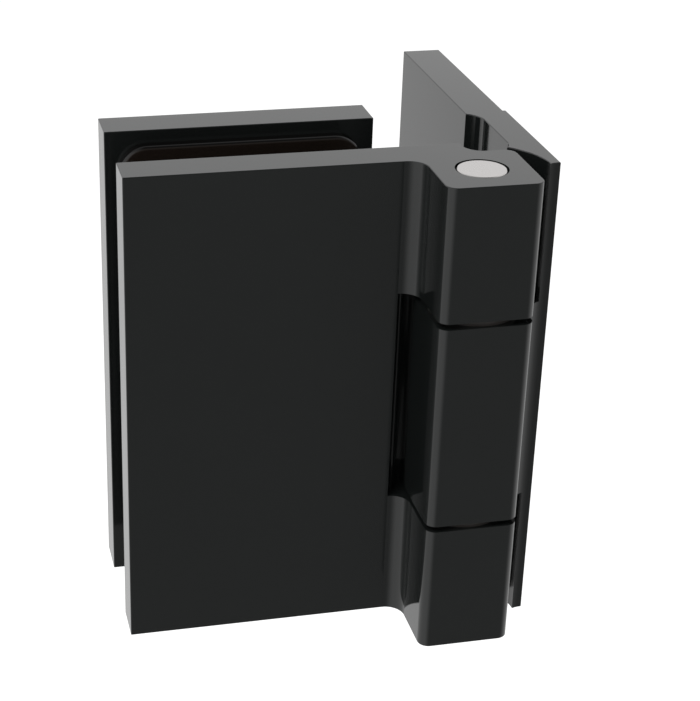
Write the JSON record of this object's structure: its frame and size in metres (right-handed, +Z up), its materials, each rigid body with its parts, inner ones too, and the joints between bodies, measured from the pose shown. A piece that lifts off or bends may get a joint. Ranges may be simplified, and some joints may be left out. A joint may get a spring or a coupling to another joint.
{
  "type": "shower door hinge",
  "caption": "Black wall-to-glass shower door hinge: door leaf and clamp plate grip the glass, and a steel pin through square knuckles joins them to a screwed wall leaf.",
  "frame": {"origin": "middle of the four wall screw holes, on the plane of the wall", "axes": "+X into the wall, +Y into the shower, +Z up along the pin"},
  "size_m": [0.0661, 0.069, 0.08],
  "materials": {
    "black_coat": "smooth black coat, semi-gloss",
    "pin_steel": "satin turned steel",
    "black_screw": "blackened steel",
    "brown_washer": "brown bearing plastic",
    "dark_bush": "dark bearing plastic",
    "brown_gasket": "smooth dark brown rubber",
    "pale_sleeve": "milky plastic"
  },
  "bodies": {
    "wall": {"wall_leaf": "black_coat", "hinge_pin": "pin_steel", "upper_grub_screw": "black_screw", "lower_grub_screw": "black_screw", "upper_washer": "brown_washer"},
    "door": {"door_leaf": "black_coat", "upper_bush": "dark_bush", "lower_bush": "dark_bush", "lower_washer": "brown_washer", "clamp_plate": "black_coat", "door_gasket": "brown_gasket", "clamp_gasket": "brown_gasket", "upper_clamp_screw": "black_screw", "lower_clamp_screw": "black_screw", "upper_screw_sleeve": "pale_sleeve", "lower_screw_sleeve": "pale_sleeve"}
  },
  "joints": [
    {"name": "door_swing", "type": "hinge", "parent": "wall", "child": "door", "pos_m": [-0.0127, -0.0437, 0], "axis": [0, 0, 1], "range_deg": [-20, 105]}
  ]
}
